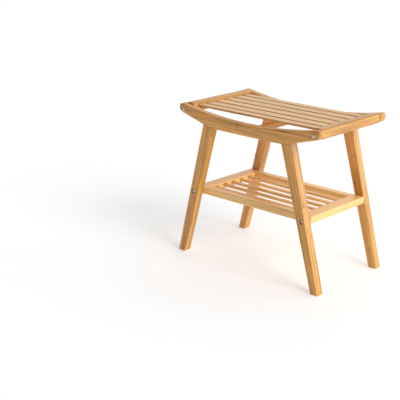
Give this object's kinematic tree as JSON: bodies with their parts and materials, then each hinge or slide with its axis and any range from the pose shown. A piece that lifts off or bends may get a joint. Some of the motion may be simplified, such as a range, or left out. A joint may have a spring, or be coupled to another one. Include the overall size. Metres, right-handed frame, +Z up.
{
  "type": "shower stool",
  "caption": "Low bench stool for a bathroom: a dished slatted seat between two curved rails, four splayed tapered legs and an open slatted shelf between them.",
  "frame": {"origin": "on the floor, under the middle of the stool", "axes": "+X along the seat to the right end, +Y from front to back, +Z up"},
  "size_m": [0.5166, 0.3026, 0.4462],
  "materials": {
    "bamboo_frame": "satin clear lacquer over laminated bamboo",
    "bamboo_slat": "satin clear lacquer over bamboo strip, paler than the frame",
    "dowel_wood": "unfinished, hidden in the leg joints",
    "zinc_steel": "bright zinc plating"
  },
  "bodies": {
    "root": {"seat_rail_front": "bamboo_frame", "seat_rail_back": "bamboo_frame", "seat_end_left": "bamboo_frame", "seat_end_right": "bamboo_frame", "seat_slat_1": "bamboo_slat", "seat_slat_2": "bamboo_slat", "seat_slat_3": "bamboo_slat", "seat_slat_4": "bamboo_slat", "seat_slat_5": "bamboo_slat", "seat_slat_6": "bamboo_slat", "seat_stretcher": "bamboo_frame", "leg_front_left": "bamboo_frame", "leg_front_right": "bamboo_frame", "leg_back_left": "bamboo_frame", "leg_back_right": "bamboo_frame", "shelf_rail_front": "bamboo_frame", "shelf_rail_back": "bamboo_frame", "shelf_end_left": "bamboo_frame", "shelf_end_right": "bamboo_frame", "shelf_slat_1": "bamboo_slat", "shelf_slat_2": "bamboo_slat", "shelf_slat_3": "bamboo_slat", "shelf_slat_4": "bamboo_slat", "shelf_slat_5": "bamboo_slat", "seat_bolt_front_left": "zinc_steel", "seat_nut_front_left": "zinc_steel", "shelf_bolt_front_left": "zinc_steel", "shelf_nut_front_left": "zinc_steel", "leg_dowel_front_left_1": "dowel_wood", "leg_dowel_front_left_2": "dowel_wood", "seat_bolt_front_right": "zinc_steel", "seat_nut_front_right": "zinc_steel", "shelf_bolt_front_right": "zinc_steel", "shelf_nut_front_right": "zinc_steel", "leg_dowel_front_right_1": "dowel_wood", "leg_dowel_front_right_2": "dowel_wood", "seat_bolt_back_left": "zinc_steel", "seat_nut_back_left": "zinc_steel", "shelf_bolt_back_left": "zinc_steel", "shelf_nut_back_left": "zinc_steel", "leg_dowel_back_left_1": "dowel_wood", "leg_dowel_back_left_2": "dowel_wood", "seat_bolt_back_right": "zinc_steel", "seat_nut_back_right": "zinc_steel", "shelf_bolt_back_right": "zinc_steel", "shelf_nut_back_right": "zinc_steel", "leg_dowel_back_right_1": "dowel_wood", "leg_dowel_back_right_2": "dowel_wood"}
  },
  "joints": []
}
